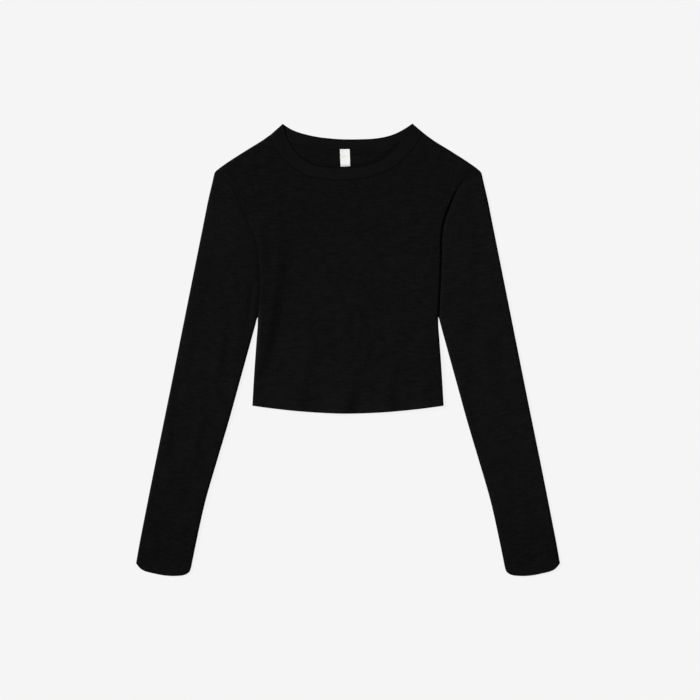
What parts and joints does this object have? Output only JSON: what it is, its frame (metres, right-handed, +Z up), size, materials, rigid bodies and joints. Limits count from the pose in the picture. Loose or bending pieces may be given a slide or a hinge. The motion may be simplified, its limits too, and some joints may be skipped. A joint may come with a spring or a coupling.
{
  "type": "crop top",
  "caption": "Long-sleeved crop top of rib jersey with a round neckband, laid flat with its front up.",
  "frame": {"origin": "middle of the outline, on the surface that the garment lies on", "axes": "+X across the body to the right of the layout, +Y along the body towards the neck, +Z up out of the front"},
  "size_m": [0.6144, 0.6554, 0.0055],
  "materials": {
    "jersey": "fine matt rib jersey, black",
    "rib": "matt doubled rib knit, black",
    "label": "white woven tape, bare"
  },
  "bodies": {
    "root": {"front_panel": "jersey", "back_panel": "jersey", "sleeve_left": "jersey", "sleeve_right": "jersey", "neckband": "rib", "label": "label"}
  },
  "joints": []
}
